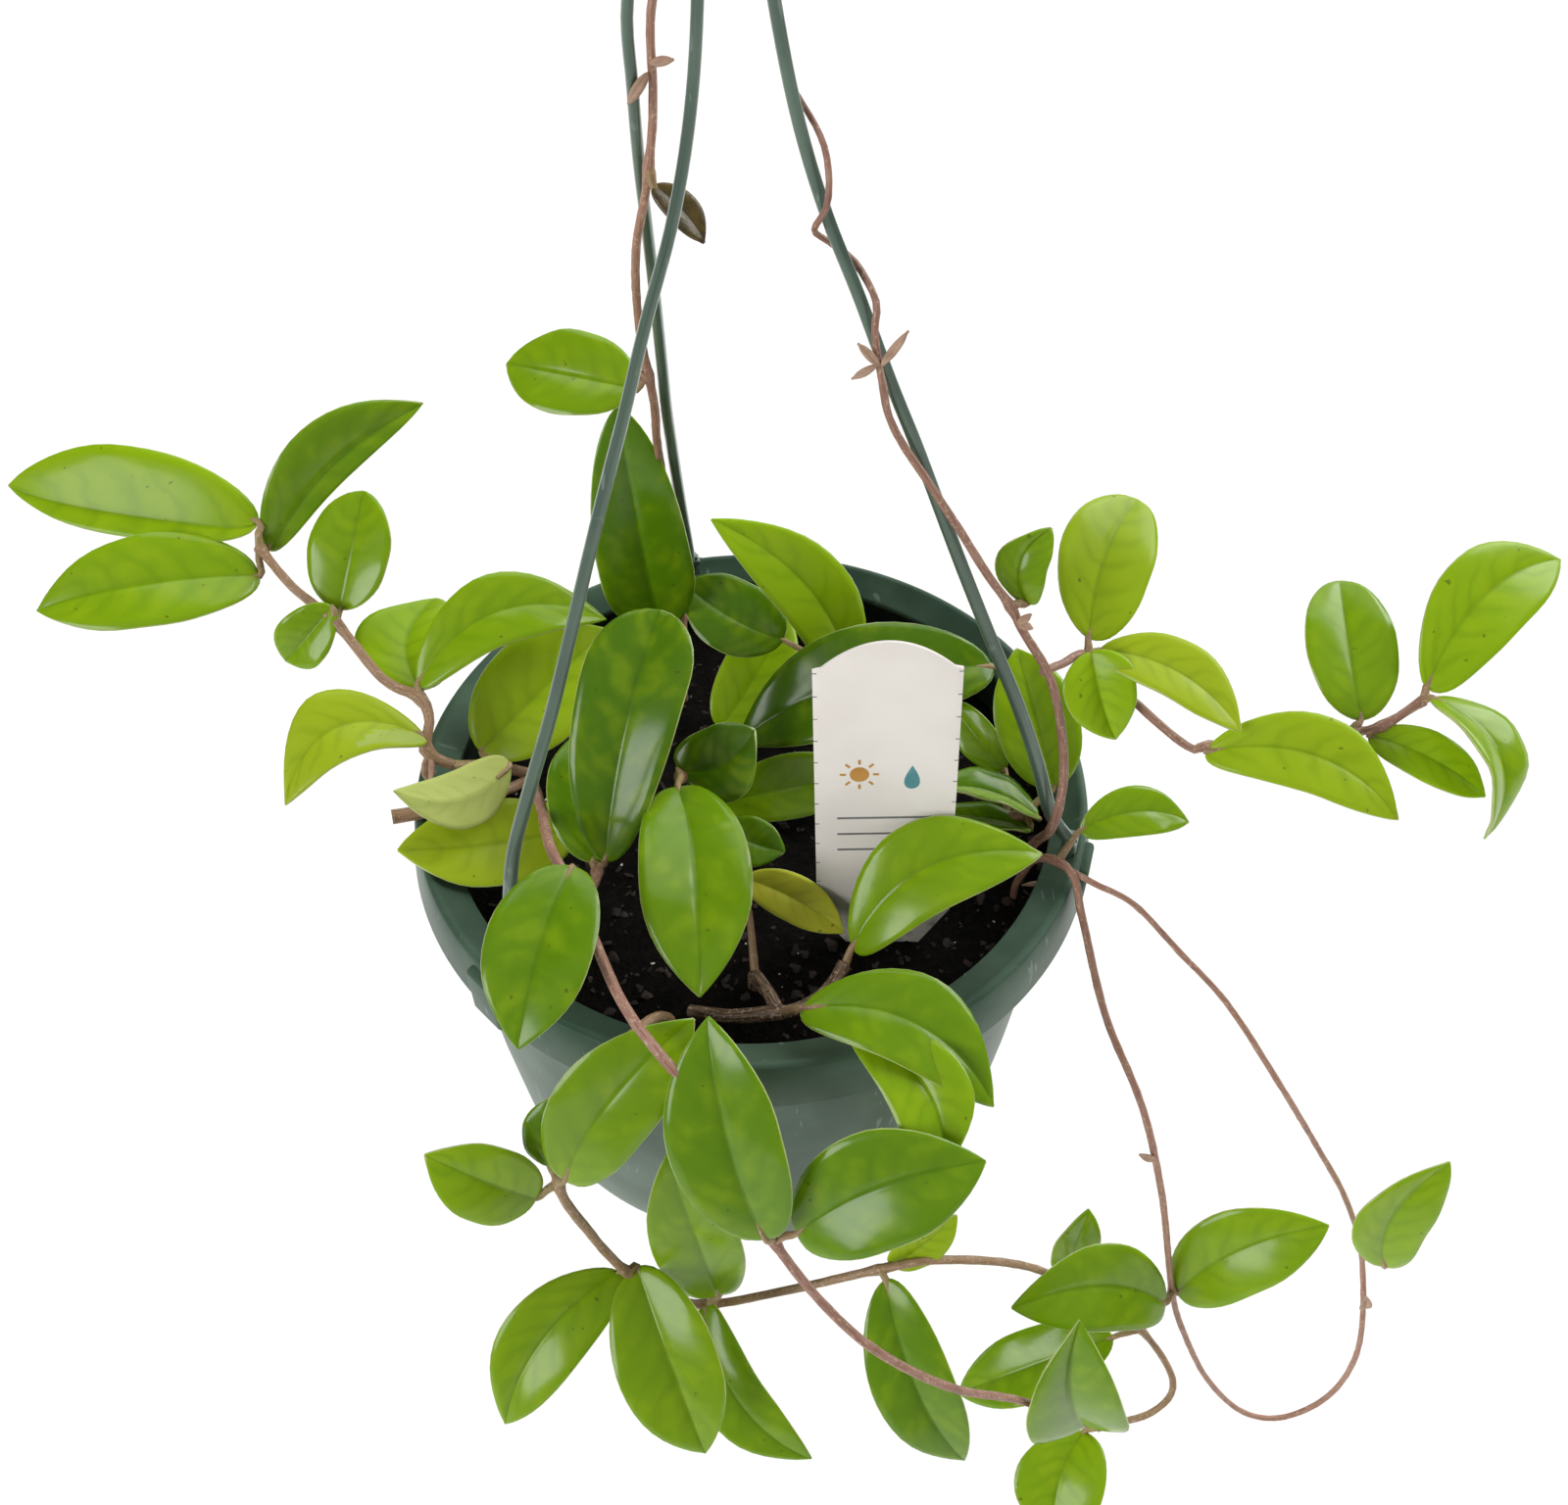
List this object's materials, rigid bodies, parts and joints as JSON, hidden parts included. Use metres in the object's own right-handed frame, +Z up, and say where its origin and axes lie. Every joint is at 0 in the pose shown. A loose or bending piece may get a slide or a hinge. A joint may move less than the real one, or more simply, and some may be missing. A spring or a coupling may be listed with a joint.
{
  "type": "potted wax plant in a hanging pot",
  "caption": "Trailing wax plant with glossy pointed oval leaves in a round grey-green plastic hanging pot, on a three-strand hanger with a hook, with a plain stake label.",
  "frame": {"origin": "the top of the inside of the hook, where it bears on what it hangs from; the rim of the pot is 341 mm below", "axes": "+Z up, +Y away from the viewer of the picture, +X to the viewer's right"},
  "size_m": [0.4584, 0.26, 0.6121],
  "materials": {
    "pot_plastic": "moulded, slightly worn grey-green",
    "potting_mix": "damp bark and peat mix",
    "label_plastic": "printed sheet, bare",
    "hanger_plastic": "moulded grey-green",
    "foliage": "waxy leaf"
  },
  "bodies": {
    "root": {"pot": "pot_plastic", "soil": "potting_mix", "plant_label": "label_plastic", "hanger_hook": "hanger_plastic", "hanger_strand_1": "hanger_plastic", "hanger_strand_2": "hanger_plastic", "hanger_strand_3": "hanger_plastic", "vine_left": "foliage", "vine_back": "foliage", "vine_long": "foliage", "vine_front": "foliage", "vine_loop": "foliage", "vine_right": "foliage", "spray_right": "foliage", "stem_middle": "foliage", "stem_back": "foliage", "stem_front": "foliage"}
  },
  "joints": []
}
